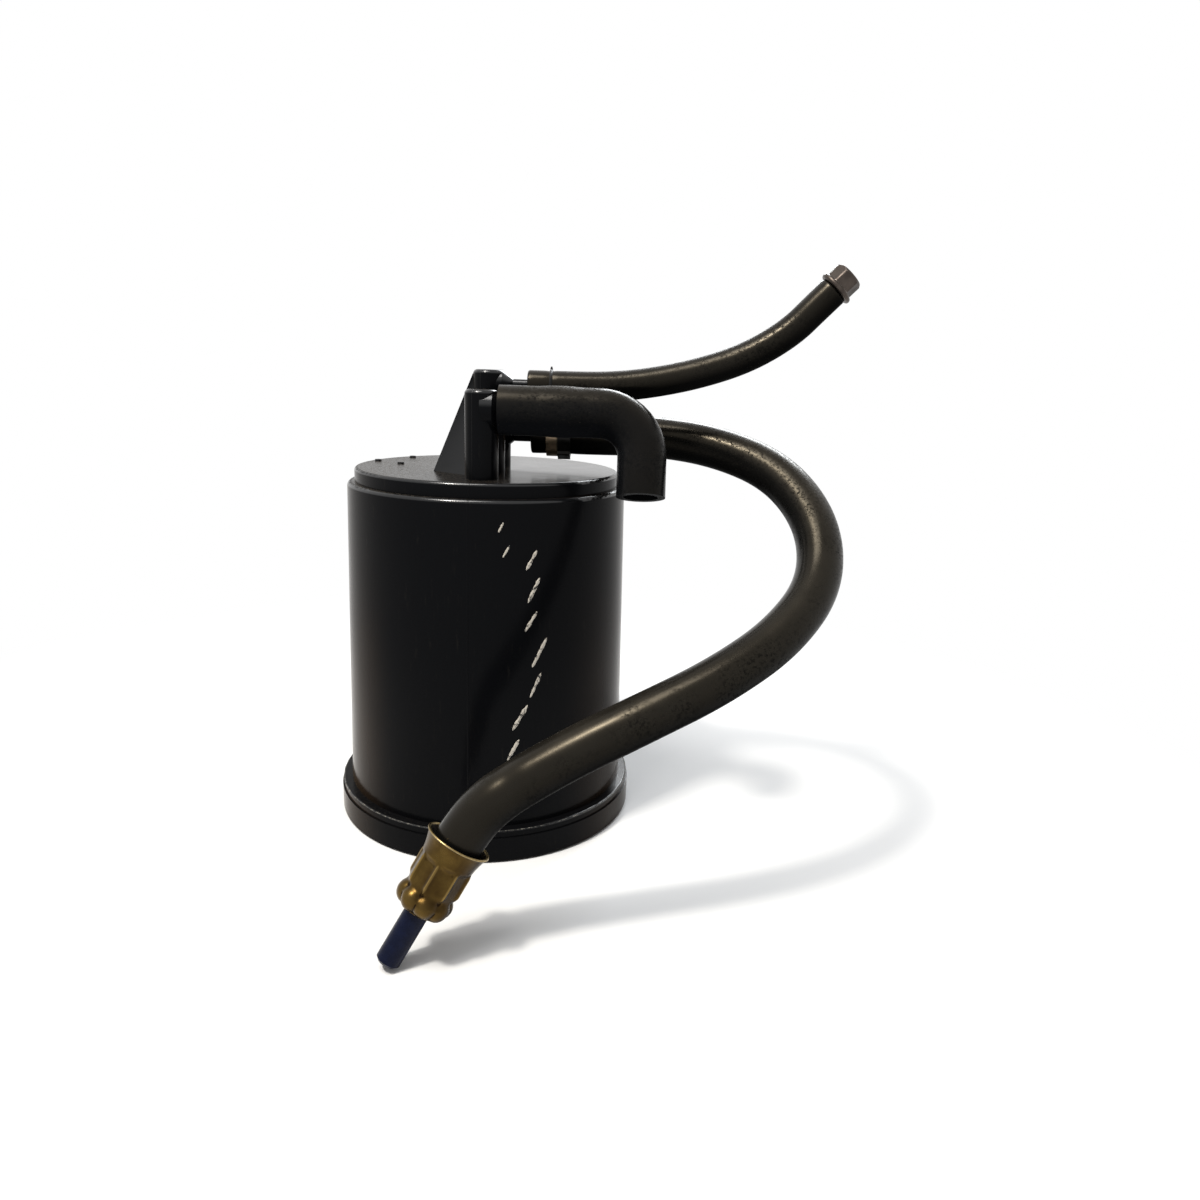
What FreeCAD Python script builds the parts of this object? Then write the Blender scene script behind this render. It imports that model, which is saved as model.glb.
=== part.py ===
"""Evaporative emissions canister with its vent elbow, tank hose and plugged purge hose.

Millimetres. The canister stands on its base cover: the origin is the centre of that cover's flat foot,
+Z is the canister's axis and +X is the way the three ports point.
"""
import FreeCAD
import Part
import math
import os

V = FreeCAD.Vector

# Canister shell
BODY_TOP_RADIUS = 55.0
BODY_DRAFT_DEG = 1.0
WALL = 2.5
LID_Z = 141.8
LID_STEP = 5.4
SHOULDER_WIDTH = 2.8
LID_ROUND = 1.3
SHOULDER_ROUND = 1.6

# Welded seam between the shell's flange and the base cover
SEAM_Z = 10.0
FLANGE_THICKNESS = 3.0
FLANGE_WIDTH = 3.5
FLANGE_ROUND = 0.7
COVER_OVERHANG = 0.6
COVER_RIM = 3.2
COVER_FLOOR = 3.0
FOOT_CHAMFER = 0.8

# Port tower: three risers in a row along Y, tied by a web and propped by a buttress
PORT_ROW_Y = -17.0
PORT_PITCH = 21.0
RISER_X = 2.5
RISER_RADIUS = 6.0
RISER_ROUND = 1.6
WEB_THICKNESS = 3.0
WEB_RISE = 9.0
BUTTRESS_REACH = 21.5
BUTTRESS_EDGE = 2.6
BUTTRESS_INSET = 2.5
BUTTRESS_CREST = 3.0
TOWER_SINK = 1.0

# Ports: height of the axis over the lid, then the nipple's sizes
VENT_RISE = 24.5
VENT_NIPPLE_RADIUS = 6.0
VENT_ROOT_RADIUS = 6.9
VENT_BORE_RADIUS = 4.4
VENT_NIPPLE_REACH = 30.0
PURGE_RISE = 33.0
PURGE_NIPPLE_RADIUS = 2.5
PURGE_ROOT_RADIUS = 5.2
PURGE_BORE_RADIUS = 1.5
PURGE_NIPPLE_REACH = 29.5
TANK_RISE = 14.0
TANK_NIPPLE_RADIUS = 4.0
TANK_ROOT_RADIUS = 5.6
TANK_BORE_RADIUS = 2.7
TANK_NIPPLE_REACH = 33.5
VENT_ROOT_OUT = 0.0
PURGE_ROOT_OUT = 3.0
TANK_ROOT_OUT = 1.5
ROOT_SLOPE = 1.2
BARB_STEP = 0.5
BARB_LENGTH = 4.0

# Moulded pips on the lid, each at its distance from the lid's edge and its angle from +X
PIP_RADIUS = 1.3
PIP_HEIGHT = 0.7
PIP_PLACES = ((5.7, 142.0), (4.2, 168.0), (16.2, 176.0))

# Inside: a divider between the purge and the vent port, at its distance from the purge port's axis,
# ribs under the lid, and a stack that springs press up against the ribs
DIVIDER_OFFSET = 11.05
DIVIDER_WALL = 2.0
RIB_OFFSET = 20.0
RIB_WALL = 2.0
RIB_DEPTH = 11.0
FILTER_THICKNESS = 4.0
BED_HEIGHT = 97.0
PLATE_THICKNESS = 3.0
PLATE_HOLE_RADIUS = 3.0
PLATE_HOLE_STEPS = 3.4
PLATE_HOLE_EDGE = 3.0
INNER_CLEARANCE = 0.3

# Springs between the base cover and the retainer plates
SPRING_TURNS = 3.0
SPRING_WIRE_SIDES = 8
SPRING_SEAT_GAP = 0.2
SPRING_BOSS_HEIGHT = 3.0
SPRING_BOSS_GAP = 0.5
MAIN_SPRING_RADIUS = 14.0
MAIN_SPRING_WIRE = 1.0
VENT_SPRING_RADIUS = 6.0
VENT_SPRING_WIRE = 0.7

# Rubber pieces slip over the nipples with this gap
SLIP = 0.2

# Edges count as lying at a height within this distance
NEAR = 1e-6

# Vent elbow: a moulded rubber bend, its leg twisted about +X towards the front
ELBOW_WALL = 2.5
ELBOW_GAP = 0.3
ELBOW_RUN = 57.3
ELBOW_LEG = 29.6
ELBOW_BEND_RADIUS = 15.4
ELBOW_TWIST_DEG = 18.0
ELBOW_SWELL = 0.35
ELBOW_SWELL_LENGTH = 16.0

# Hoses: how far from the riser each one starts, its outer radius and the share of a run that a bend takes
HOSE_START = 14.5
TANK_HOSE_RADIUS = 8.0
PURGE_HOSE_RADIUS = 5.5
CORD_ARC_SHARE = 0.45

# Routes after the straight start on the nipple, from the port to the far end
TANK_ROUTE = (
    (65.0, 1.5, 156.4),
    (91.0, -8.0, 153.8),
    (112.5, -24.0, 146.0),
    (124.0, -43.0, 130.5),
    (123.0, -60.0, 112.5),
    (108.0, -77.0, 98.0),
    (86.0, -89.5, 86.0),
    (61.9, -97.0, 75.4),
    (41.1, -101.5, 65.5),
    (26.7, -105.0, 57.7),
    (16.8, -107.6, 51.7),
    (9.0, -109.6, 43.9),
    (4.3, -112.0, 35.7),
)
TANK_START_RUN = 22.0
PURGE_ROUTE = (
    (50.0, -17.0, 175.3),
    (66.0, -17.5, 177.6),
    (83.0, -18.0, 181.8),
    (99.0, -19.0, 187.8),
    (113.0, -20.0, 196.8),
    (121.4, -21.0, 205.9),
    (126.9, -21.5, 211.6),
)
PURGE_START_RUN = 16.0

# Band clamp on the tank hose and wire clip on the purge hose
CLAMP_OFFSET = 6.2
CLAMP_WIDTH = 9.6
CLAMP_THICKNESS = 0.8
CLAMP_GAP = 0.15
EAR_WIDTH = 5.0
EAR_SPAN = 6.0
EAR_HEIGHT = 0.9
EAR_ANGLE_DEG = 25.0
EAR_ROUND_SHARE = 0.8
CLIP_OFFSET = 8.2
CLIP_WIRE = 0.55
CLIP_TAIL = 1.1

# Crimped ferrule and pipe stub on the tank hose's end, along the hose's last run
FERRULE_MOUTH = 3.2
FERRULE_RIM_RADIUS = 10.8
FERRULE_RIM_WALL = 0.9
FERRULE_NECK_RADIUS = 8.9
FERRULE_LENGTH = 21.3
CRIMP_COUNT = 8
CRIMP_DEPTH = 1.0
CRIMP_START = 4.2
RIDGE_WIDTH = 1.0
RIDGE_HEIGHT = 0.5
LOBE_RADIUS = 3.8
LOBE_BULGE = 1.4
STUB_RADIUS = 4.0
STUB_REACH = 18.9
STUB_INSERT = 16.0
STUB_SHOULDER = 0.5
STUB_CHAMFER = 0.9

# Flanged hex plug in the purge hose's end
PLUG_FLANGE_RADIUS = 6.8
PLUG_FLANGE_THICKNESS = 2.0
PLUG_HEX_ACROSS = 10.0
PLUG_HEX_HEIGHT = 5.6
PLUG_HEX_CHAMFER = 0.7
PLUG_SHANK_LENGTH = 14.0

# Heights and radii that follow from the sizes above
LID_RADIUS = BODY_TOP_RADIUS - SHOULDER_WIDTH
DIVIDER_Y = PORT_ROW_Y - DIVIDER_OFFSET
SHOULDER_Z = LID_Z - LID_STEP
CEILING_Z = LID_Z - WALL
RIB_Z = CEILING_Z - RIB_DEPTH
BED_TOP_Z = RIB_Z - FILTER_THICKNESS
BED_BOTTOM_Z = BED_TOP_Z - BED_HEIGHT
PLATE_TOP_Z = BED_BOTTOM_Z - FILTER_THICKNESS
PLATE_BOTTOM_Z = PLATE_TOP_Z - PLATE_THICKNESS
VENT_Y = PORT_ROW_Y - PORT_PITCH
TANK_Y = PORT_ROW_Y + PORT_PITCH
VENT_Z = LID_Z + VENT_RISE
PURGE_Z = LID_Z + PURGE_RISE
TANK_Z = LID_Z + TANK_RISE
ELBOW_BORE_RADIUS = VENT_NIPPLE_RADIUS + SLIP
ELBOW_RADIUS = ELBOW_BORE_RADIUS + ELBOW_WALL
TANK_HOSE_BORE = TANK_NIPPLE_RADIUS + SLIP
PURGE_HOSE_BORE = PURGE_NIPPLE_RADIUS + SLIP


def body_radius(z):
    """Outer radius of the drafted wall at height z."""
    return BODY_TOP_RADIUS + (SHOULDER_Z - z) * math.tan(math.radians(BODY_DRAFT_DEG))


def bore_radius(z):
    """Inner radius of the drafted wall at height z."""
    return body_radius(z) - WALL


def edges_of(points):
    """Straight edges through the points, closed."""
    return [Part.makeLine(a, b) for a, b in zip(points, points[1:] + points[:1])]


def revolve(edges, base, axis):
    """Solid of revolution of a closed planar profile."""
    face = Part.Face(Part.Wire(Part.__sortEdges__(edges)))
    return face.revolve(base, axis, 360)


def turned(profile):
    """Revolve (radius, z) points about the Z axis."""
    return revolve(edges_of([V(r, 0, z) for r, z in profile]), V(0, 0, 0), V(0, 0, 1))


def turned_x(profile, y, z):
    """Revolve (x, radius) points about the line along X through (y, z)."""
    return revolve(edges_of([V(x, y, z + r) for x, r in profile]), V(0, y, z), V(1, 0, 0))


def quarter(corner, start, end):
    """Round between start and end, tangent to the lines that meet at corner."""
    chord_mid = (start + end) * 0.5
    middle = chord_mid + (corner - chord_mid) * (math.sqrt(2) - 1)
    return Part.Arc(start, middle, end).toShape()


def rounded_path(points, radius=None):
    """Wire of straight runs joined by tangent arcs, with the arcs' radii.

    With no radius, each arc is as large as its two runs allow.
    """
    points = [V(*p) for p in points]
    edges = []
    radii = []
    last = points[0]
    for before, corner, after in zip(points, points[1:], points[2:]):
        into = corner - before
        out = after - corner
        half_turn = into.getAngle(out) / 2
        arc_radius = radius
        if radius is None:
            shorter = min(into.Length, out.Length)
            arc_radius = CORD_ARC_SHARE * shorter / math.tan(half_turn)
        cut = arc_radius * math.tan(half_turn)
        into.normalize()
        out.normalize()
        start = corner - into * cut
        end = corner + out * cut
        inward = (out - into).normalize()
        middle = corner + inward * (arc_radius / math.cos(half_turn) - arc_radius)
        edges.append(Part.LineSegment(last, start).toShape())
        edges.append(Part.Arc(start, middle, end).toShape())
        radii.append(arc_radius)
        last = end
    edges.append(Part.LineSegment(last, points[-1]).toShape())
    return Part.Wire(edges), radii


def sweep(path, points, radius):
    """Solid of a round section along a path that starts at the first point."""
    start = V(*points[0])
    section = Part.Wire(Part.makeCircle(radius, start, V(*points[1]) - start))
    return path.makePipeShell([section], True, False)


def tube(points, outer, bore, bend=None):
    """Tube along rounded runs, with the radii of its bends."""
    path, radii = rounded_path(points, bend)
    solid = sweep(path, points, outer).cut(sweep(path, points, bore))
    return solid, path, radii


def along(solid, origin, direction):
    """Put a solid made along +Z at origin, along direction."""
    solid.Placement = FreeCAD.Placement(origin, FreeCAD.Rotation(V(0, 0, 1), direction))
    return solid


def riser(y, top):
    """Round riser with a rounded top, standing on the lid."""
    foot = LID_Z - TOWER_SINK
    shaft = Part.makeCylinder(RISER_RADIUS, top - foot, V(RISER_X, y, foot))
    rim = [e for e in shaft.Edges if e.BoundBox.ZMin > top - NEAR]
    return shaft.makeFillet(RISER_ROUND, rim)


def nipple(y, z, root, root_out, radius, reach):
    """Root cone, shank and barb of one port, along +X from the riser's axis."""
    shank = radius - BARB_STEP
    slope_end = RISER_X + RISER_RADIUS + root_out
    slope_start = slope_end - (root - shank) * ROOT_SLOPE
    end = RISER_X + reach
    profile = [
        (RISER_X, 0),
        (RISER_X, root),
        (slope_start, root),
        (slope_end, shank),
        (end - BARB_LENGTH, shank),
        (end - BARB_LENGTH, radius),
        (end, radius - BARB_STEP),
        (end, 0),
    ]
    return turned_x(profile, y, z)


def passage(y, z, radius, reach):
    """Air way of one port: up the riser from the chamber, then out along the nipple."""
    rise = Part.makeCylinder(radius, z - CEILING_Z + WALL, V(RISER_X, y, CEILING_Z - WALL))
    run = Part.makeCylinder(radius, reach + WALL, V(RISER_X, y, z), V(1, 0, 0))
    return rise.fuse([run, Part.makeSphere(radius, V(RISER_X, y, z))])


def buttress():
    """Wedge behind the risers: wide at the lid, thin along its sloping outer edge."""
    half_edge = BUTTRESS_EDGE / 2
    top_z = PURGE_Z + PURGE_ROOT_RADIUS - RISER_ROUND
    foot_z = LID_Z - TOWER_SINK
    apex_x = RISER_X - BUTTRESS_REACH
    top_x = RISER_X - RISER_RADIUS
    foot = [
        V(apex_x, PORT_ROW_Y - half_edge, foot_z),
        V(RISER_X, VENT_Y + BUTTRESS_INSET, foot_z),
        V(RISER_X, TANK_Y - BUTTRESS_INSET, foot_z),
        V(apex_x, PORT_ROW_Y + half_edge, foot_z),
    ]
    crest = [
        V(top_x, PORT_ROW_Y - half_edge, top_z),
        V(RISER_X, PORT_ROW_Y - BUTTRESS_CREST, top_z),
        V(RISER_X, PORT_ROW_Y + BUTTRESS_CREST, top_z),
        V(top_x, PORT_ROW_Y + half_edge, top_z),
    ]
    return Part.makeLoft([Part.Wire(edges_of(foot)), Part.Wire(edges_of(crest))], True, True)


def cavity(z_low, z_high, clearance=0.0):
    """Drafted round space inside the wall between two heights."""
    low = bore_radius(z_low) - clearance
    high = bore_radius(z_high) - clearance
    return Part.makeCone(low, high, z_high - z_low, V(0, 0, z_low))


def chamber(z_low, z_high, front):
    """Slab that fills one chamber between two heights, clear of the wall and the divider."""
    side = 2 * bore_radius(SEAM_Z)
    near = DIVIDER_WALL / 2 + INNER_CLEARANCE
    y_low = DIVIDER_Y - near - side if front else DIVIDER_Y + near
    block = Part.makeBox(side, side, z_high - z_low, V(-side / 2, y_low, z_low))
    return cavity(z_low, z_high, INNER_CLEARANCE).common(block)


def shell():
    """Drafted wall with its weld flange, shoulder and stepped lid, as one turned profile."""
    flange_r = body_radius(SEAM_Z + FLANGE_THICKNESS) + FLANGE_WIDTH
    flange_z = SEAM_Z + FLANGE_THICKNESS
    shoulder_r = body_radius(SHOULDER_Z)
    lid_bore = LID_RADIUS - WALL
    throat_z = SHOULDER_Z - WALL
    p = [
        V(bore_radius(SEAM_Z), 0, SEAM_Z),
        V(flange_r, 0, SEAM_Z),
        V(flange_r, 0, flange_z - FLANGE_ROUND),
        V(flange_r - FLANGE_ROUND, 0, flange_z),
        V(body_radius(flange_z), 0, flange_z),
        V(body_radius(SHOULDER_Z - SHOULDER_ROUND), 0, SHOULDER_Z - SHOULDER_ROUND),
        V(shoulder_r - SHOULDER_ROUND, 0, SHOULDER_Z),
        V(LID_RADIUS, 0, SHOULDER_Z),
        V(LID_RADIUS, 0, LID_Z - LID_ROUND),
        V(LID_RADIUS - LID_ROUND, 0, LID_Z),
        V(0, 0, LID_Z),
        V(0, 0, CEILING_Z),
        V(lid_bore, 0, CEILING_Z),
        V(lid_bore, 0, throat_z),
        V(bore_radius(throat_z - WALL), 0, throat_z - WALL),
    ]
    edges = edges_of(p)
    edges[2] = quarter(V(flange_r, 0, flange_z), p[2], p[3])
    edges[5] = quarter(V(shoulder_r, 0, SHOULDER_Z), p[5], p[6])
    edges[8] = quarter(V(LID_RADIUS, 0, LID_Z), p[8], p[9])
    return revolve(edges, V(0, 0, 0), V(0, 0, 1))


def inner_walls():
    """Divider between the two chambers and the ribs that hold the upper filters down."""
    span = 2 * bore_radius(SEAM_Z)
    fit = cavity(PLATE_BOTTOM_Z, SHOULDER_Z - WALL * 2, -WALL / 2)
    lid_space = Part.makeCylinder(LID_RADIUS - WALL / 2, CEILING_Z + WALL / 2 - RIB_Z, V(0, 0, RIB_Z))
    fit = fit.fuse(lid_space)
    top = CEILING_Z + WALL / 2
    wall_y = DIVIDER_Y - DIVIDER_WALL / 2
    plates = [Part.makeBox(span, DIVIDER_WALL, top - PLATE_BOTTOM_Z, V(-span / 2, wall_y, PLATE_BOTTOM_Z))]
    for x in (-RIB_OFFSET, RIB_OFFSET):
        plates.append(Part.makeBox(RIB_WALL, span, top - RIB_Z, V(x - RIB_WALL / 2, -span / 2, RIB_Z)))
    return plates[0].fuse(plates[1:]).common(fit)


def canister_body():
    """Shell, lid, inner walls and the port tower: one moulding."""
    ports = (
        (VENT_Y, VENT_Z, VENT_ROOT_RADIUS, VENT_ROOT_OUT, VENT_NIPPLE_RADIUS, VENT_NIPPLE_REACH),
        (PORT_ROW_Y, PURGE_Z, PURGE_ROOT_RADIUS, PURGE_ROOT_OUT, PURGE_NIPPLE_RADIUS, PURGE_NIPPLE_REACH),
        (TANK_Y, TANK_Z, TANK_ROOT_RADIUS, TANK_ROOT_OUT, TANK_NIPPLE_RADIUS, TANK_NIPPLE_REACH),
    )
    solids = [inner_walls(), buttress()]
    for y, z, root, root_out, radius, reach in ports:
        solids.append(riser(y, z + root))
        solids.append(nipple(y, z, root, root_out, radius, reach))
    web_foot = V(RISER_X - WEB_THICKNESS / 2, VENT_Y, LID_Z - TOWER_SINK)
    solids.append(Part.makeBox(WEB_THICKNESS, TANK_Y - VENT_Y, WEB_RISE + TOWER_SINK, web_foot))
    for inset, angle in PIP_PLACES:
        distance = LID_RADIUS - inset
        turn = math.radians(angle)
        place = V(distance * math.cos(turn), distance * math.sin(turn), LID_Z - PIP_HEIGHT)
        solids.append(Part.makeCone(PIP_RADIUS + PIP_HEIGHT / 2, PIP_RADIUS, 2 * PIP_HEIGHT, place))
    body = shell().fuse(solids)
    ways = [
        passage(VENT_Y, VENT_Z, VENT_BORE_RADIUS, VENT_NIPPLE_REACH),
        passage(PORT_ROW_Y, PURGE_Z, PURGE_BORE_RADIUS, PURGE_NIPPLE_REACH),
        passage(TANK_Y, TANK_Z, TANK_BORE_RADIUS, TANK_NIPPLE_REACH),
    ]
    return body.cut(ways)


def base_cover():
    """Dished cover: flat foot, weld rim and the bosses that centre the springs."""
    rim = body_radius(SEAM_Z + FLANGE_THICKNESS) + FLANGE_WIDTH + COVER_OVERHANG
    profile = [
        (0, 0),
        (rim - FOOT_CHAMFER, 0),
        (rim, FOOT_CHAMFER),
        (rim, SEAM_Z),
        (rim - COVER_RIM, SEAM_Z),
        (rim - COVER_RIM, COVER_FLOOR),
        (0, COVER_FLOOR),
    ]
    solid = turned(profile)
    for radius, wire, y in spring_sizes():
        boss = Part.makeCylinder(radius - wire - SPRING_BOSS_GAP, SPRING_BOSS_HEIGHT, V(0, y, COVER_FLOOR))
        solid = solid.fuse(boss)
    return solid.removeSplitter()


def spring_sizes():
    """Coil radius, wire radius and place along Y of the main and the vent spring, mid-chamber."""
    wall = bore_radius(PLATE_BOTTOM_Z)
    return (
        (MAIN_SPRING_RADIUS, MAIN_SPRING_WIRE, (DIVIDER_Y + wall) / 2),
        (VENT_SPRING_RADIUS, VENT_SPRING_WIRE, (DIVIDER_Y - wall) / 2),
    )


def spring(radius, wire, y):
    """Compression spring from the cover's floor to the plate above it."""
    low = COVER_FLOOR + wire + SPRING_SEAT_GAP
    high = PLATE_BOTTOM_Z - wire - SPRING_SEAT_GAP
    height = high - low
    coil = Part.makeHelix(height / SPRING_TURNS, height, radius)
    turns = [k * 2 * math.pi / SPRING_WIRE_SIDES for k in range(SPRING_WIRE_SIDES)]
    ring = [V(radius + wire * math.cos(a), 0, wire * math.sin(a)) for a in turns]
    solid = Part.Wire(coil).makePipeShell([Part.Wire(edges_of(ring))], True, True)
    solid.translate(V(0, y, low))
    return solid


def retainer_plate(front):
    """Plate that carries one bed, with a grid of air holes clear of its edge."""
    plate = chamber(PLATE_BOTTOM_Z, PLATE_TOP_Z, front)
    keep = bore_radius(PLATE_TOP_Z) - INNER_CLEARANCE - PLATE_HOLE_EDGE - PLATE_HOLE_RADIUS
    near = DIVIDER_WALL / 2 + INNER_CLEARANCE + PLATE_HOLE_EDGE + PLATE_HOLE_RADIUS
    pitch = keep / PLATE_HOLE_STEPS
    y = DIVIDER_Y - near if front else DIVIDER_Y + near
    holes = []
    while abs(y) < keep:
        columns = int(math.sqrt(keep ** 2 - y ** 2) / pitch)
        for column in range(-columns, columns + 1):
            place = V(column * pitch, y, PLATE_BOTTOM_Z)
            holes.append(Part.makeCylinder(PLATE_HOLE_RADIUS, PLATE_THICKNESS, place))
        y += -pitch if front else pitch
    return plate.cut(holes)


def vent_elbow():
    """Moulded rubber bend with a slight swell over the nipple's barb."""
    start_x = RISER_X + RISER_RADIUS + ELBOW_GAP
    corner_x = RISER_X + ELBOW_RUN
    twist = math.radians(ELBOW_TWIST_DEG)
    mouth = V(corner_x, VENT_Y - ELBOW_LEG * math.sin(twist), VENT_Z - ELBOW_LEG * math.cos(twist))
    route = ((start_x, VENT_Y, VENT_Z), (corner_x, VENT_Y, VENT_Z), tuple(mouth))
    path = rounded_path(route, ELBOW_BEND_RADIUS)[0]
    barb_x = RISER_X + VENT_NIPPLE_REACH - BARB_LENGTH / 2
    swell = [
        V(barb_x - ELBOW_SWELL_LENGTH / 2, VENT_Y, VENT_Z + ELBOW_RADIUS),
        V(barb_x, VENT_Y, VENT_Z + ELBOW_RADIUS + ELBOW_SWELL),
        V(barb_x + ELBOW_SWELL_LENGTH / 2, VENT_Y, VENT_Z + ELBOW_RADIUS),
    ]
    foot = [V(point.x, VENT_Y, VENT_Z + ELBOW_BORE_RADIUS) for point in (swell[2], swell[0])]
    edges = [
        Part.Arc(*swell).toShape(),
        Part.makeLine(swell[2], foot[0]),
        Part.makeLine(foot[0], foot[1]),
        Part.makeLine(foot[1], swell[0]),
    ]
    ring = revolve(edges, V(0, VENT_Y, VENT_Z), V(1, 0, 0))
    outer = sweep(path, route, ELBOW_RADIUS).fuse(ring)
    return outer.cut(sweep(path, route, ELBOW_BORE_RADIUS)).removeSplitter()


def tank_points():
    """Route of the tank hose: straight on its nipple, then the chosen points."""
    start = RISER_X + HOSE_START
    return ((start, TANK_Y, TANK_Z), (start + TANK_START_RUN, TANK_Y, TANK_Z)) + TANK_ROUTE


def purge_points():
    """Route of the purge hose: straight on its nipple, then the chosen points."""
    start = RISER_X + HOSE_START
    return ((start, PORT_ROW_Y, PURGE_Z), (start + PURGE_START_RUN, PORT_ROW_Y, PURGE_Z)) + PURGE_ROUTE


def last_run(points):
    """End point of a route and the direction in which it ends."""
    end = V(*points[-1])
    return end, (end - V(*points[-2])).normalize()


def tank_hose_clamp():
    """Flat band round the hose over its nipple, with the closed ear of the crimp."""
    inner = TANK_HOSE_RADIUS + CLAMP_GAP
    outer = inner + CLAMP_THICKNESS
    start = V(RISER_X + HOSE_START + CLAMP_OFFSET, TANK_Y, TANK_Z)
    band = Part.makeCylinder(outer, CLAMP_WIDTH, start, V(1, 0, 0))
    ear_x = start.x + CLAMP_WIDTH - EAR_WIDTH
    ear_low = V(ear_x, TANK_Y - EAR_SPAN / 2, TANK_Z - outer - EAR_HEIGHT)
    ear = Part.makeBox(EAR_WIDTH, EAR_SPAN, outer, ear_low)
    long_edges = [e for e in ear.Edges if e.BoundBox.ZMax < ear_low.z + NEAR and e.BoundBox.XLength > NEAR]
    ear = ear.makeFillet(EAR_HEIGHT * EAR_ROUND_SHARE, long_edges)
    ear.rotate(V(0, TANK_Y, TANK_Z), V(1, 0, 0), -EAR_ANGLE_DEG)
    bore = Part.makeCylinder(inner, CLAMP_WIDTH, start, V(1, 0, 0))
    return band.fuse(ear).cut(bore).removeSplitter()


def purge_hose_clip():
    """Thin wire ring round the purge hose, with its twisted tail standing up."""
    place = V(RISER_X + HOSE_START + CLIP_OFFSET, PORT_ROW_Y, PURGE_Z)
    inner = PURGE_HOSE_RADIUS + CLAMP_GAP
    outer = inner + CLIP_WIRE
    ring = turned_x([(place.x, inner), (place.x + CLIP_WIRE, outer), (place.x + 2 * CLIP_WIRE, inner)],
                    PORT_ROW_Y, PURGE_Z)
    tail_foot = place + V(CLIP_WIRE, 0, outer - CLIP_WIRE / 2)
    tail = Part.makeCone(CLIP_WIRE, CLIP_WIRE / 2, CLIP_TAIL, tail_foot)
    return ring.fuse(tail)


def ring_of_lobes(apothem):
    """Rounded lobes round the ferrule's end, one below each pressed flat."""
    middle_z = FERRULE_LENGTH - LOBE_RADIUS
    middle_r = apothem + LOBE_BULGE - LOBE_RADIUS
    lobes = []
    for index in range(CRIMP_COUNT):
        turn = 2 * math.pi * index / CRIMP_COUNT
        middle = V(middle_r * math.cos(turn), middle_r * math.sin(turn), middle_z)
        lobes.append(Part.makeSphere(LOBE_RADIUS, middle))
    return lobes


def ring_of_ridges(corner):
    """Thin ridges left standing between the pressed flats."""
    length = FERRULE_LENGTH - 2 * LOBE_RADIUS - CRIMP_START
    ridges = []
    for index in range(CRIMP_COUNT):
        ridge = Part.makeBox(corner + RIDGE_HEIGHT, RIDGE_WIDTH, length, V(0, -RIDGE_WIDTH / 2, CRIMP_START))
        ridge.rotate(V(0, 0, 0), V(0, 0, 1), (index + 0.5) * 360 / CRIMP_COUNT)
        ridges.append(ridge)
    return ridges


def hose_ferrule():
    """Crimped sleeve: flared mouth over the hose, pressed flats with ridges between, lobed end."""
    seat = TANK_HOSE_RADIUS + SLIP
    bore = STUB_RADIUS - STUB_SHOULDER + SLIP
    apothem = FERRULE_NECK_RADIUS - CRIMP_DEPTH
    corner = apothem / math.cos(math.pi / CRIMP_COUNT)
    lobe_z = FERRULE_LENGTH - LOBE_RADIUS
    p = [
        V(0, 0, 0),
        V(seat, 0, 0),
        V(FERRULE_RIM_RADIUS - FERRULE_RIM_WALL, 0, -FERRULE_MOUTH),
        V(FERRULE_RIM_RADIUS, 0, -FERRULE_MOUTH),
        V(FERRULE_NECK_RADIUS, 0, CRIMP_START),
        V(0, 0, CRIMP_START),
    ]
    flare_mid = V(FERRULE_NECK_RADIUS + FERRULE_RIM_WALL / 2, 0, (CRIMP_START - FERRULE_MOUTH) / 2)
    edges = edges_of(p)
    edges[3] = Part.Arc(p[3], flare_mid, p[4]).toShape()
    flare = revolve(edges, V(0, 0, 0), V(0, 0, 1))
    turns = [(k + 0.5) * 2 * math.pi / CRIMP_COUNT for k in range(CRIMP_COUNT)]
    ring = [V(corner * math.cos(a), corner * math.sin(a), CRIMP_START) for a in turns]
    pressed = Part.Face(Part.Wire(edges_of(ring))).extrude(V(0, 0, lobe_z - CRIMP_START))
    core = Part.makeCylinder(apothem + LOBE_BULGE - LOBE_RADIUS, FERRULE_LENGTH)
    sleeve = flare.fuse([pressed, core] + ring_of_lobes(apothem) + ring_of_ridges(corner))
    return sleeve.cut(Part.makeCylinder(bore, FERRULE_LENGTH))


def pipe_stub():
    """Pipe end: a shank in the ferrule, a shoulder on its end face and a chamfered tip."""
    end = FERRULE_LENGTH + STUB_REACH
    return turned([
        (0, FERRULE_LENGTH - STUB_INSERT),
        (STUB_RADIUS - STUB_SHOULDER, FERRULE_LENGTH - STUB_INSERT),
        (STUB_RADIUS - STUB_SHOULDER, FERRULE_LENGTH),
        (STUB_RADIUS, FERRULE_LENGTH),
        (STUB_RADIUS, end - STUB_CHAMFER),
        (STUB_RADIUS - STUB_CHAMFER, end),
        (0, end),
    ])


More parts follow.
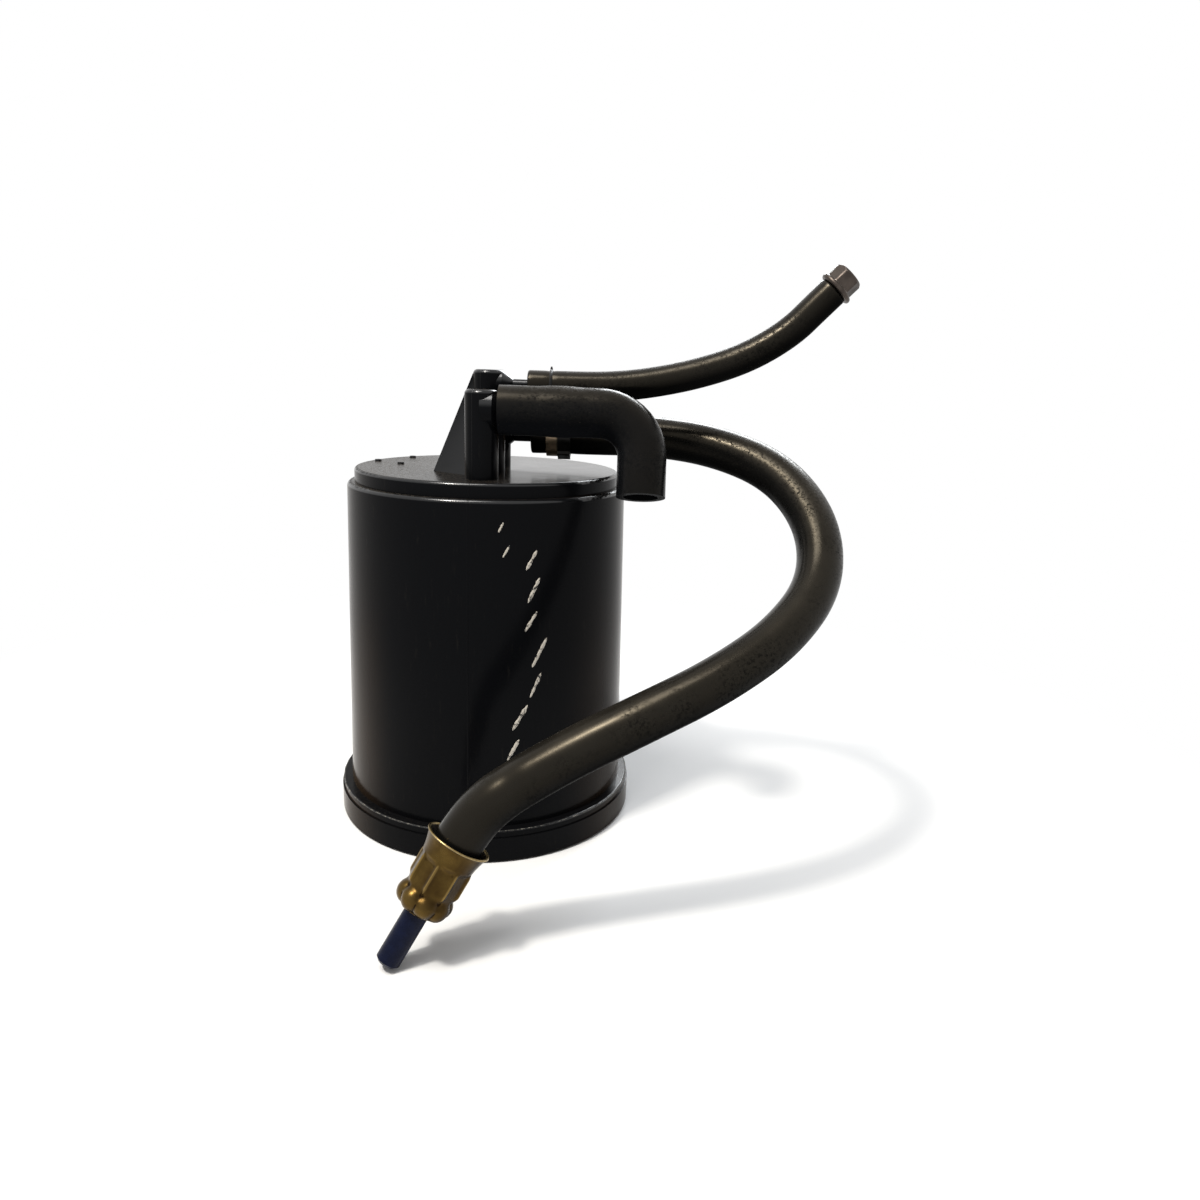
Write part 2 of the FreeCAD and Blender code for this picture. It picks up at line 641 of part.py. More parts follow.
def purge_plug():
    """Flanged hex plug: shank in the hose's bore, flange on its end, chamfered hex head."""
    corner = PLUG_HEX_ACROSS / math.sqrt(3)
    ring = [V(corner * math.cos(k * math.pi / 3), corner * math.sin(k * math.pi / 3), 0) for k in range(6)]
    head = Part.Face(Part.Wire(edges_of(ring))).extrude(V(0, 0, PLUG_FLANGE_THICKNESS + PLUG_HEX_HEIGHT))
    top = PLUG_FLANGE_THICKNESS + PLUG_HEX_HEIGHT
    crown = turned([
        (0, 0),
        (corner, 0),
        (corner, top - PLUG_HEX_CHAMFER),
        (PLUG_HEX_ACROSS / 2, top),
        (0, top),
    ])
    flange = Part.makeCone(PLUG_FLANGE_RADIUS, PLUG_HEX_ACROSS / 2, PLUG_FLANGE_THICKNESS)
    shank = Part.makeCylinder(PURGE_HOSE_BORE - SLIP, PLUG_SHANK_LENGTH, V(0, 0, -PLUG_SHANK_LENGTH))
    return head.common(crown).fuse([flange, shank]).removeSplitter()


def hoses(nodes):
    """Both hoses and what sits on their far ends."""
    routes = (
        ("tank_hose", tank_points(), TANK_HOSE_RADIUS, TANK_HOSE_BORE),
        ("purge_hose", purge_points(), PURGE_HOSE_RADIUS, PURGE_HOSE_BORE),
    )
    for name, points, radius, bore in routes:
        solid, path, radii = tube(points, radius, bore)
        expected = math.pi * (radius ** 2 - bore ** 2) * path.Length
        print(name, "length", round(path.Length, 1), "bend radii", [round(r, 1) for r in radii])
        print(name, "volume over section times length", round(solid.Volume / expected, 4))
        nodes[name] = solid
    end, direction = last_run(tank_points())
    nodes["hose_ferrule"] = along(hose_ferrule(), end, direction)
    nodes["pipe_stub"] = along(pipe_stub(), end, direction)
    end, direction = last_run(purge_points())
    nodes["purge_plug"] = along(purge_plug(), end, direction)


def build():
    """All nodes by name."""
    nodes = {"canister_body": canister_body(), "base_cover": base_cover()}
    for side, front in (("main", False), ("vent", True)):
        nodes[side + "_upper_filter"] = chamber(BED_TOP_Z, RIB_Z, front)
        nodes[side + "_carbon_bed"] = chamber(BED_BOTTOM_Z, BED_TOP_Z, front)
        nodes[side + "_lower_filter"] = chamber(PLATE_TOP_Z, BED_BOTTOM_Z, front)
        nodes[side + "_retainer_plate"] = retainer_plate(front)
    for name, sizes in zip(("main_spring", "vent_spring"), spring_sizes()):
        nodes[name] = spring(*sizes)
    nodes["vent_elbow"] = vent_elbow()
    nodes["tank_hose_clamp"] = tank_hose_clamp()
    nodes["purge_hose_clip"] = purge_hose_clip()
    hoses(nodes)
    return nodes


os.makedirs("parts", exist_ok=True)
for node_name, shape in build().items():
    print(node_name, "valid", shape.isValid(), "solids", len(shape.Solids), "volume", round(shape.Volume, 1))
    shape.exportStep("parts/" + node_name + ".step")
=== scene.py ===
"""Finish of the evaporative emissions canister: hoses, end fittings, weld flash, paint dabs and materials.

Metres, in the frame of the solids: +Z is the canister's axis, +X the way its ports point.
"""
import bpy
import math
from mathutils import Matrix, Vector, noise


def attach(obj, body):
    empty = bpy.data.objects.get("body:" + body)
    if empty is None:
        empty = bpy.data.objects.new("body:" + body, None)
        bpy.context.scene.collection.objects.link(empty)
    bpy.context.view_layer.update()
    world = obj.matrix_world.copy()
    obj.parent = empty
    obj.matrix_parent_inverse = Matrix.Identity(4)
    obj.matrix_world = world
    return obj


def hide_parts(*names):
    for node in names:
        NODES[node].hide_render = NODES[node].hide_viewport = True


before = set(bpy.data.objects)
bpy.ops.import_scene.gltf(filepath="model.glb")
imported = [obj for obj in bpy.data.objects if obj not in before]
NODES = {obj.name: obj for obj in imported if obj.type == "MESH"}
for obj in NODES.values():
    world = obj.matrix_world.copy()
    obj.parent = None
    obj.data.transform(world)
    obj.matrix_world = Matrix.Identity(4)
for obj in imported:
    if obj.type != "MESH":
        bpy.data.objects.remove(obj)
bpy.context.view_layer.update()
MM = 0.001

# Camera: place, aim and lens, found from the rims of the lid and the base
CAMERA_AT = (0.0468, -0.3558, 0.1806)
CAMERA_PITCH_DEG = 14.56
CAMERA_ROLL_DEG = -2.01
CAMERA_LENS = 26.36
SENSOR = 36.0
CLIP_START = 0.01

# Hoses: routes in metres, the points that the solids follow
TANK_ROUTE = (
    (0.0170, 0.0040, 0.1558),
    (0.0390, 0.0040, 0.1558),
    (0.0650, 0.0015, 0.1564),
    (0.0910, -0.0080, 0.1538),
    (0.1125, -0.0240, 0.1460),
    (0.1240, -0.0430, 0.1305),
    (0.1230, -0.0600, 0.1125),
    (0.1080, -0.0770, 0.0980),
    (0.0860, -0.0895, 0.0860),
    (0.0619, -0.0970, 0.0754),
    (0.0411, -0.1015, 0.0655),
    (0.0267, -0.1050, 0.0577),
    (0.0168, -0.1076, 0.0517),
    (0.0090, -0.1096, 0.0439),
    (0.0043, -0.1120, 0.0357),
)
PURGE_ROUTE = (
    (0.0170, -0.0170, 0.1748),
    (0.0330, -0.0170, 0.1748),
    (0.0500, -0.0170, 0.1753),
    (0.0660, -0.0175, 0.1776),
    (0.0830, -0.0180, 0.1818),
    (0.0990, -0.0190, 0.1878),
    (0.1130, -0.0200, 0.1968),
    (0.1214, -0.0210, 0.2059),
    (0.1269, -0.0215, 0.2116),
)
TANK_HOSE_RADIUS = 8.0 * MM
PURGE_HOSE_RADIUS = 5.5 * MM
HOSE_SIDES = 48
END_ROUND = 0.8 * MM
END_STEPS = (0.0, 0.12, 0.35, 0.65, 1.0)
ROUTE_STEPS = 24

# Where a hose is pressed in: depth, place along the hose and reach, and the crease's turn round it in radians
BAND_PINCH = 0.25 * MM
BAND_AT = 11.2 * MM
BAND_REACH = 5.8 * MM
CREASE_DEPTH = 0.55 * MM
CREASE_AT = 282.0 * MM
CREASE_REACH = 4.0 * MM
CREASE_TURN = 2.2
CLIP_PINCH = 0.2 * MM
CLIP_AT = 8.8 * MM
CLIP_REACH = 1.2 * MM

# Drafted wall of the body, for what lies on it
SHOULDER_RADIUS = 55.0 * MM
SHOULDER_HEIGHT = 136.4 * MM
DRAFT_DEG = 1.0

# Weld flash along the flange's upper edge: how thick it is, where it is thickest, in degrees from +X, and
# the noise that its lumps follow
FLASH_RADIUS = 60.5 * MM
FLASH_HEIGHT = 12.75 * MM
FLASH_THIN = 0.10 * MM
FLASH_LUMP = 0.42 * MM
FLASH_PEAK_DEG = 225.0
FLASH_SPREAD_DEG = 42.0
FLASH_STEPS = 720
FLASH_SIDES = 6
FLASH_GRAIN = 14.0
FLASH_FALL = 1.0
FLASH_FINER = 2.0
FLASH_OCTAVES = 4
FLASH_BASE = 0.35

# Worn paint dashes on the wall, all about one slant: degrees from the front towards +X, height, length,
# tilt in degrees, width, with lengths in millimetres
PAINT_DASHES = (
    (12.0, 127.0, 4.0, 64.0, 0.8),
    (14.0, 118.5, 5.0, 60.0, 0.8),
    (23.5, 115.0, 8.0, 61.0, 1.2),
    (24.5, 104.0, 10.0, 64.0, 1.3),
    (23.5, 92.5, 8.5, 58.0, 1.2),
    (27.0, 80.5, 12.0, 62.0, 1.4),
    (25.5, 68.0, 10.0, 65.0, 1.3),
    (19.5, 56.0, 11.0, 59.0, 1.5),
    (17.0, 43.5, 9.0, 61.0, 1.5),
)
PAINT_LIFT = 0.06 * MM
PAINT_SINK = 0.10 * MM
PAINT_TOP_SHARE = 0.85
PAINT_STEPS = 28
PAINT_SIDES = 4
PAINT_RAGGED = 0.45
PAINT_RAGS = 4.0
PAINT_TAPER = 0.9
PAINT_TAPER_POWER = 6

# Crimped ferrule, along its own axis from the hose's end: flared mouth, pressed flats, ridges and lobes
FERRULE_MOUTH = 3.2 * MM
FERRULE_RIM = 10.8 * MM
FERRULE_RIM_WALL = 0.9 * MM
FLARE_POWER = 1.6
FERRULE_NECK = 8.9 * MM
FERRULE_LENGTH = 21.3 * MM
FERRULE_SEAT = 8.2 * MM
FERRULE_BORE = 3.7 * MM
CRIMP_COUNT = 8
CRIMP_DEPTH = 0.9 * MM
CRIMP_START = 4.2 * MM
CRIMP_EASE = 2.2 * MM
RIDGE_WIDTH = 0.8 * MM
RIDGE_HEIGHT = 0.6 * MM
RIDGE_END = 13.7 * MM
LOBE_RADIUS = 3.8 * MM
LOBE_MIDDLE = 5.75 * MM
LOBE_BLEND = 0.9 * MM
PIT_DEPTH = 0.9 * MM
PIT_WIDTH = 1.2 * MM
FERRULE_ROWS = 90
RIM_ROWS = 8
# Reach of the painted shade in the ferrule's creases
CREASE_SHADE_REACH = 2.5 * MM

# Flanged hex plug, along its own axis from the hose's end
PLUG_SHANK = 14.0 * MM
PLUG_SHANK_RADIUS = 2.5 * MM
PLUG_COLLAR = 2.0 * MM
PLUG_COLLAR_RADIUS = 6.7 * MM
PLUG_ACROSS = 10.0 * MM
PLUG_CORNER = 5.6 * MM
PLUG_HEIGHT = 7.6 * MM
PLUG_CHAMFER = 0.8 * MM
PLUG_CROWN_SLOPE = 0.9
PLUG_ROWS = 10

# End fittings: faces round each ring, the angle from which an edge shows as sharp, there and on the solids,
# and the place of the plain finish and of the rim's painted highlight in a fitting's list
RING_SIDES = 160
RING_SHARP_DEG = 40.0
SOLID_SHARP_DEG = 32.0
PLAIN = 0
RIM_HIGHLIGHT = 1

# Tank hose clamp: along X, where the painted shade on its ear begins and is full
EAR_SHADE_START = 27.0 * MM
EAR_SHADE_END = 28.0 * MM

# Stage: where the floor fades to white, the room's strength, and the lamps, each with its name, place, aim,
# size, power in watts and colour
FLOOR_HALF = 6.0
FADE_START = 0.12
FADE_END = 0.36
ROOM_LIGHT = 0.35
AIM = (0.03, -0.03, 0.11)
LAMPS = (
    ("key", (-0.24, -0.28, 1.05), AIM, (0.46, 0.46), 6.5, (1.0, 0.98, 0.95)),
    ("spark", (-0.32, -0.36, 0.95), AIM, (0.10, 0.10), 6.0, (1.0, 0.95, 0.86)),
    ("rim", (0.35, 0.85, 0.70), AIM, (0.60, 0.35), 8.0, (0.93, 0.97, 1.0)),
)

# Body finish, in millimetres: along X, where the lid's dust is thin and where thick; the heights where dust
# and where the painted tan reflection on the sides begin and are full; the polished patch at the back right;
# the parting line
DUST_X = (18.0, -46.0)
DUST_Z = (60.0, 130.0)
SIDE_REFLECTION_Z = (125.0, 35.0)
POLISH_SLOPE = 0.35
POLISH_ACROSS = (-8.0, 8.0)
POLISH_X = (-6.0, 10.0)
SEAM_X = (0.28, 0.05)

# Cosine between the true and the rounded normal where there is no edge, and where it is full
EDGE_NONE = 0.995
EDGE_FULL = 0.93

# Reach of an edge that is painted bright, as rubbed wear with a painted highlight, in millimetres
BRIGHT_EDGE_REACH = 0.35

# Rubber: how much paler its bloom is, and its shine where clean and where pitted
BLOOM_PALER = 1.6
SHINE_CLEAN = 1.25
SHINE_PITTED = 0.3

# Colours of the finishes, linear red, green and blue, with alpha where a socket takes four
BODY_BLACK = (0.0030, 0.0033, 0.0041)
BODY_SCUFFED = (0.0070, 0.0068, 0.0066)
# Painted tan reflection on the body's sides
BODY_SIDE_REFLECTION = (0.026, 0.0155, 0.0080)
BODY_DUST = (0.085, 0.076, 0.064)
BODY_SHEEN = (0.62, 0.42, 0.24, 1.0)
RUBBER_SHEEN = (0.80, 0.64, 0.46, 1.0)
RUBBER_SHINE = (1.0, 0.86, 0.64, 1.0)
# Painted tan sheen with dust on the rubber's upward faces
RUBBER_TOP_SHEEN_AND_DUST = (0.046, 0.038, 0.026)
RUBBER_DUST = (0.10, 0.087, 0.066)
FLASH_BLACK = (0.012, 0.012, 0.012)
FLASH_WHITE = (0.34, 0.32, 0.28)
PAINT_GREY = (0.46, 0.42, 0.36)
PAINT_PALE = (0.66, 0.62, 0.55)
PAINT_GONE = (0.008, 0.008, 0.008)
BRASS = (0.110, 0.069, 0.019)
BRASS_STAINED = (0.052, 0.030, 0.009)
BRASS_WORN = (0.235, 0.155, 0.050)
# Painted shade with dirt in the ferrule's creases and on its +X side
BRASS_SHADE_AND_GRIME = (0.016, 0.009, 0.004)
BAND_TAN = (0.44, 0.33, 0.22)
BAND_STAINED = (0.24, 0.175, 0.115)
# Painted shade on the clamp's ear
BAND_SHADE = (0.022, 0.021, 0.020)
WIRE_BLACK = (0.010, 0.010, 0.010)
WIRE_RUST = (0.045, 0.028, 0.018)
PIPE_BLUE = (0.0026, 0.0046, 0.018)
PIPE_RUBBED = (0.0044, 0.0076, 0.028)
FLOOR_GREY = (0.86, 0.87, 0.885)
FLOOR_PALE = (0.885, 0.895, 0.91)
ROOM_COLOUR = (1.0, 0.97, 0.93, 1.0)
WHITE = (1.0, 1.0, 1.0, 1.0)


class Shader:
    """A principled material whose nodes are made by short calls."""

    def __init__(self, name, **constants):
        self.material = bpy.data.materials.new(name)
        self.material.use_nodes = True
        self.tree = self.material.node_tree
        self.bsdf = self.tree.nodes["Principled BSDF"]
        for socket, value in constants.items():
            self.bsdf.inputs[socket.replace("_", " ")].default_value = value

    def node(self, kind, links=None, values=None, **settings):
        """New node with its settings, the values of its sockets and the links into them."""
        made = self.tree.nodes.new("ShaderNode" + kind)
        for key, value in settings.items():
            setattr(made, key, value)
        for key, value in (values or {}).items():
            made.inputs[key].default_value = value
        for key, source in (links or {}).items():
            self.tree.links.new(source, made.inputs[key])
        return made

    def coords(self, stretch=(1, 1, 1)):
        """Place on the object in millimetres, stretched along each axis."""
        place = self.node("TexCoord").outputs["Object"]
        scaled = self.node("VectorMath", {0: place}, operation="MULTIPLY")
        scaled.inputs[1].default_value = [s / MM for s in stretch]
        return scaled.outputs[0]

    def noise(self, size_mm, detail=4.0, roughness=0.55, stretch=(1, 1, 1)):
        """Noise from 0 to 1 with features of about the given size."""
        made = self.node("TexNoise", {"Vector": self.coords(stretch)})
        made.inputs["Scale"].default_value = 1.0 / size_mm
        made.inputs["Detail"].default_value = detail
        made.inputs["Roughness"].default_value = roughness
        return made.outputs["Fac"]

    def cells(self, size_mm):
        """Distance to the nearest of scattered points, in cells of the given size."""
        made = self.node("TexVoronoi", {"Vector": self.coords()})
        made.inputs["Scale"].default_value = 1.0 / size_mm
        return made.outputs["Distance"]

    def step(self, value, low, high):
        """Smooth step of a value from low to high; falls if low is above high."""
        made = self.node("MapRange", {"Value": value}, interpolation_type="SMOOTHSTEP")
        made.inputs["From Min"].default_value = min(low, high)
        made.inputs["From Max"].default_value = max(low, high)
        made.inputs["To Min"].default_value = 0.0 if low < high else 1.0
        made.inputs["To Max"].default_value = 1.0 if low < high else 0.0
        return made.outputs["Result"]

    def spread(self, value, low, high):
        """Map 0..1 to low..high."""
        made = self.node("MapRange", {"Value": value})
        made.inputs["To Min"].default_value = low
        made.inputs["To Max"].default_value = high
        return made.outputs["Result"]

    def math(self, operation, a, b):
        """One arithmetic step; each side is a socket or a number."""
        made = self.node("Math", operation=operation)
        for index, side in enumerate((a, b)):
            if isinstance(side, (int, float)):
                made.inputs[index].default_value = side
            else:
                self.tree.links.new(side, made.inputs[index])
        return made.outputs[0]

    def axis(self, name):
        """One coordinate of the place on the object, in millimetres."""
        return self.node("SeparateXYZ", {0: self.coords()}).outputs[name]

    def facing(self, name):
        """One component of the surface normal."""
        normal = self.node("NewGeometry").outputs["Normal"]
        return self.node("SeparateXYZ", {0: normal}).outputs[name]

    def mix(self, factor, a, b):
        """Mix of two colours, each a socket or a tuple."""
        made = self.node("Mix", {"Factor": factor}, data_type="RGBA")
        for key, side in (("A", a), ("B", b)):
            socket = [s for s in made.inputs if s.name == key and s.type == "RGBA"][0]
            if isinstance(side, tuple):
                socket.default_value = side + (1.0,)
            else:
                self.tree.links.new(side, socket)
        return [s for s in made.outputs if s.type == "RGBA"][0]

    def edges(self, reach_mm):
        """1 along edges that stand out or fold in within the given reach, 0 elsewhere."""
        rounded = self.node("Bevel", values={"Radius": reach_mm * MM}).outputs["Normal"]
        normal = self.node("NewGeometry").outputs["Normal"]
        along = self.node("VectorMath", {0: rounded, 1: normal}, operation="DOT_PRODUCT").outputs["Value"]
        return self.step(along, EDGE_NONE, EDGE_FULL)

    def bump(self, height, depth_mm, normal=None):
        """Bump whose full height is the given depth."""
        made = self.node("Bump", {"Height": height})
        made.inputs["Strength"].default_value = 1.0
        made.inputs["Distance"].default_value = depth_mm * MM
        if normal is not None:
            self.tree.links.new(normal, made.inputs["Normal"])
        return made.outputs["Normal"]

    def set(self, **sockets):
        """Drive sockets of the shader."""
        for name, source in sockets.items():
            self.tree.links.new(source, self.bsdf.inputs[name.replace("_", " ")])


def body_plastic():
    """Glossy black nylon: vertical scuffs, a parting line, a painted tan reflection low on the left and right
    sides, dust on what faces up.
    """
    s = Shader("body_plastic", Sheen_Weight=0.05, Sheen_Roughness=0.35)
    s.bsdf.inputs["Sheen Tint"].default_value = BODY_SHEEN
    scuff = s.step(s.noise(1.4, 6.0, 0.7, (1.0, 1.0, 0.12)), 0.58, 0.74)
    cloud = s.noise(22.0, 3.0)
    dust_spots = s.step(s.noise(1.3, 8.0, 0.75), 0.40, 0.74)
    up = s.step(s.facing("Z"), 0.75, 0.97)
    left = s.step(s.axis("X"), *DUST_X)
    on_lid = s.spread(s.step(s.axis("Z"), *DUST_Z), 0.15, 1.0)
    top_dust_and_sheen = s.math("MULTIPLY", s.math("MULTIPLY", up, on_lid), s.spread(left, 0.06, 0.70))
    dust = s.math("MULTIPLY", top_dust_and_sheen, dust_spots)
    slanted = s.math("MULTIPLY", s.step(s.facing("Z"), 0.12, 0.40), s.step(s.facing("Z"), 0.96, 0.80))
    back = s.step(s.math("ADD", s.axis("Y"), s.math("MULTIPLY", s.axis("X"), POLISH_SLOPE)), *POLISH_ACROSS)
    polished = s.math("MULTIPLY", s.math("MULTIPLY", up, back), s.step(s.axis("X"), *POLISH_X))
    shine = s.math("MAXIMUM", slanted, polished)
    # Painted tan reflection on the sides that face left and right, strongest low down
    across = s.facing("X")
    right_side = s.math("MULTIPLY", s.step(across, 0.58, 0.97), 0.6)
    side = s.math("MAXIMUM", s.step(across, -0.50, -0.92), right_side)
    low = s.math("MULTIPLY", side, s.step(s.axis("Z"), *SIDE_REFLECTION_Z))
    painted_tan_light_and_film = s.math("MULTIPLY", low, s.spread(cloud, 0.4, 1.0))
    colour = s.mix(scuff, BODY_BLACK, BODY_SCUFFED)
    colour = s.mix(painted_tan_light_and_film, colour, BODY_SIDE_REFLECTION)
    colour = s.mix(dust, colour, BODY_DUST)
    gloss = s.math("ADD", s.spread(cloud, 0.12, 0.24), s.math("MULTIPLY", scuff, 0.10))
    rough = s.math("ADD", gloss, s.math("MULTIPLY", dust, 0.45))
    seam = s.step(s.math("ABSOLUTE", s.axis("X"), 0.0), *SEAM_X)
    seam_bump = s.bump(seam, 0.10)
    grain = s.bump(s.noise(0.7, 3.0), 0.010, seam_bump)
    waves = s.bump(s.noise(26.0, 1.0, 0.4), 0.10, grain)
    s.set(Base_Color=colour, Roughness=rough, Specular_IOR_Level=s.spread(shine, 0.04, 0.45), Normal=waves)
    return s.material


def rubber(name, tone, gloss, dust_share, top_sheen_and_dust_share, size_mm):
    """Satin rubber: cloudy bloom, patches of fine pits, pale specks of dust, a painted tan sheen with dust on
    what faces up, and a dull underside.
    """
    s = Shader(name, Sheen_Weight=0.004, Sheen_Roughness=0.4)
    s.bsdf.inputs["Sheen Tint"].default_value = RUBBER_SHEEN
    s.bsdf.inputs["Specular Tint"].default_value = RUBBER_SHINE
    bloom = s.step(s.noise(size_mm * 6, 4.0, 0.6), 0.40, 0.72)
    pits = s.step(s.noise(1.2, 5.0, 0.8), 0.47, 0.60)
    where = s.step(s.noise(size_mm * 4.0, 3.0, 0.6), 0.40, 0.62)
    pitted = s.math("MULTIPLY", pits, where)
    specks = s.step(s.noise(0.5, 5.0, 0.85), 0.60, 0.70)
    dust = s.math("MULTIPLY", s.math("MULTIPLY", specks, where), dust_share)
    painted_tan_light_and_film = s.spread(bloom, 0.4 * top_sheen_and_dust_share, top_sheen_and_dust_share)
    # Painted tan sheen, with dust, on what faces up
    top_dust_and_sheen = s.math("MULTIPLY", s.step(s.facing("Z"), 0.35, 1.0), painted_tan_light_and_film)
    base = s.mix(bloom, tone, tuple(c * BLOOM_PALER for c in tone))
    base = s.mix(top_dust_and_sheen, base, RUBBER_TOP_SHEEN_AND_DUST)
    colour = s.mix(dust, base, RUBBER_DUST)
    rough = s.math("ADD", s.spread(bloom, 0.21, 0.32), s.math("MULTIPLY", pitted, 0.22))
    ripple = s.bump(s.noise(5.0, 2.0, 0.5), 0.05)
    upper = s.spread(s.step(s.facing("Z"), -0.55, 0.40), 0.01, 1.0)
    shine = s.math("MULTIPLY", s.spread(pitted, SHINE_CLEAN * gloss, SHINE_PITTED * gloss), upper)
    s.set(Base_Color=colour, Roughness=rough, Specular_IOR_Level=shine, Normal=s.bump(pitted, -0.004, ripple))
    return s.material


def flash_plastic():
    """Squeezed-out weld plastic: black, whitened where it broke."""
    s = Shader("flash_plastic", Specular_IOR_Level=0.3)
    white = s.step(s.noise(1.6, 6.0, 0.75), 0.48, 0.66)
    s.set(Base_Color=s.mix(white, FLASH_BLACK, FLASH_WHITE),
          Roughness=s.spread(white, 0.3, 0.7), Normal=s.bump(s.noise(0.4), 0.05))
    return s.material


def worn_paint():
    """Dried pale paint, rubbed through to the plastic in flakes."""
    s = Shader("worn_paint", Specular_IOR_Level=0.3)
    gone = s.step(s.noise(1.3, 6.0, 0.75), 0.53, 0.57)
    grey = s.mix(s.noise(1.5, 3.0), PAINT_GREY, PAINT_PALE)
    s.set(Base_Color=s.mix(gone, grey, PAINT_GONE), Roughness=s.spread(gone, 0.55, 0.3),
          Normal=s.bump(gone, -0.03))
    return s.material


def metal(name, bright, dull, edge, rough_low, rough_high, size_mm):
    """Worn metal: dull and rougher where it has oxidised, painted bright along its edges as rubbed wear with
    a painted highlight.
    """
    s = Shader(name, Metallic=1.0)
    stain = s.step(s.noise(size_mm, 5.0, 0.6), 0.32, 0.74)
    fine = s.noise(size_mm / 6, 4.0, 0.7)
    colour = s.mix(stain, bright, dull)
    # Edges painted bright: rubbed wear with a painted highlight
    colour = s.mix(s.edges(BRIGHT_EDGE_REACH), colour, edge)
    rough = s.spread(stain, rough_low, rough_high)
    rough = s.math("ADD", rough, s.math("MULTIPLY", fine, 0.08))
    s.set(Base_Color=colour, Roughness=rough, Normal=s.bump(fine, 0.015))
    return s.material


def bronze():
    """Yellow passivated crimp sleeve: rubbed bright on what stands out, darker and rougher in its creases
    with dirt and painted shade, and painted shade on its +X side.
    """
    s = Shader("ferrule_brass", Metallic=1.0)
    stain = s.step(s.noise(9.0, 5.0, 0.6), 0.30, 0.72)
    curve = s.node("NewGeometry").outputs["Pointiness"]
    worn = s.step(curve, 0.505, 0.540)
    # Dirt and painted shade in the creases and hollows that ambient occlusion finds, and where the surface
    # folds in
    open_sky = s.node("AmbientOcclusion", values={"Distance": CREASE_SHADE_REACH}).outputs["AO"]
    crease_shade_and_grime = s.math("MAXIMUM", s.step(open_sky, 0.97, 0.60), s.step(curve, 0.495, 0.470))
    # Painted shade on the side that faces +X
    painted_side_shade = s.math("MULTIPLY", s.step(s.facing("X"), -0.35, 0.75), 0.65)
    shade_and_grime = s.math("MAXIMUM", crease_shade_and_grime, painted_side_shade)
    colour = s.mix(stain, BRASS, BRASS_STAINED)
    colour = s.mix(worn, colour, BRASS_WORN)
    colour = s.mix(shade_and_grime, colour, BRASS_SHADE_AND_GRIME)
    rough = s.math("ADD", s.spread(stain, 0.25, 0.36), s.math("MULTIPLY", crease_shade_and_grime, 0.20))
    s.set(Base_Color=colour, Roughness=rough, Normal=s.bump(s.noise(1.2, 4.0), 0.02))
    return s.material


def band_steel():
    """Clamp band: tan plated steel, with painted shade on its ear."""
    s = Shader("clamp_steel", Metallic=0.9)
    stain = s.step(s.noise(3.0, 5.0, 0.6), 0.36, 0.70)
    # Painted shade on the clamp's ear, from where it begins along X
    black = s.step(s.axis("X"), EAR_SHADE_START / MM, EAR_SHADE_END / MM)
    colour = s.mix(stain, BAND_TAN, BAND_STAINED)
    colour = s.mix(black, colour, BAND_SHADE)
    s.set(Base_Color=colour, Roughness=s.spread(stain, 0.30, 0.48), Normal=s.bump(s.noise(0.6), 0.015))
    return s.material


def blackened_wire():
    """Wire clip: black oxide with a little rust."""
    s = Shader("clip_wire", Specular_IOR_Level=0.2)
    rust = s.step(s.noise(0.8, 4.0), 0.55, 0.75)
    s.set(Base_Color=s.mix(rust, WIRE_BLACK, WIRE_RUST), Roughness=s.spread(rust, 0.45, 0.7))
    return s.material


def blue_plastic():
    """Dark blue pipe end, rubbed paler along its length."""
    s = Shader("stub_blue", Specular_IOR_Level=0.10)
    rub = s.step(s.noise(3.0, 5.0, 0.6), 0.40, 0.80)
    colour = s.mix(rub, PIPE_BLUE, PIPE_RUBBED)
    s.set(Base_Color=colour, Roughness=s.spread(rub, 0.26, 0.40), Normal=s.bump(s.noise(0.6), 0.01))
    return s.material


def inner_stuff(name, dark, pale, size_mm, rough):
    """Plain inner material: felt, pellets or moulded plate, mottled at the given size."""
    s = Shader(name)
    mottle = s.step(s.cells(size_mm), 0.15, 0.75)
    colour = s.mix(mottle, pale, dark)
    s.set(Base_Color=colour, Roughness=s.spread(s.noise(size_mm * 2), rough - 0.1, rough + 0.1),
          Normal=s.bump(mottle, size_mm * 0.2))
    return s.material


def spline_points(name, route):
    """Points of the smooth line that has the route as its control points."""
    data = bpy.data.curves.new(name + "_line", "CURVE")
    data.dimensions = "3D"
    data.resolution_u = ROUTE_STEPS
    spline = data.splines.new("NURBS")
    spline.points.add(len(route) - 1)
    for point, place in zip(spline.points, route):
        point.co = (*place, 1.0)
    spline.order_u = 3
    spline.use_endpoint_u = True
    line = bpy.data.objects.new(name + "_line", data)
    mesh = bpy.data.meshes.new_from_object(line)
    points = [v.co.copy() for v in mesh.vertices]
    bpy.data.objects.remove(line)
    bpy.data.meshes.remove(mesh)
    return points


def rings_along(points):
    """Frames carried along a line without twist: place, direction, side and up at each point."""
    frames = []
    side = Vector((0, 1, 0))
    for index, place in enumerate(points):
        ahead = points[min(index + 1, len(points) - 1)]
        behind = points[max(index - 1, 0)]
        way = (ahead - behind).normalized()
        side = (side - way * side.dot(way)).normalized()
        frames.append((place, way, side, way.cross(side)))
    return frames


def lengths_along(points):
    """Distance along the line at each point."""
    total = 0.0
    out = [0.0]
    for a, b in zip(points, points[1:]):
        total += (b - a).length
        out.append(total)
    return out


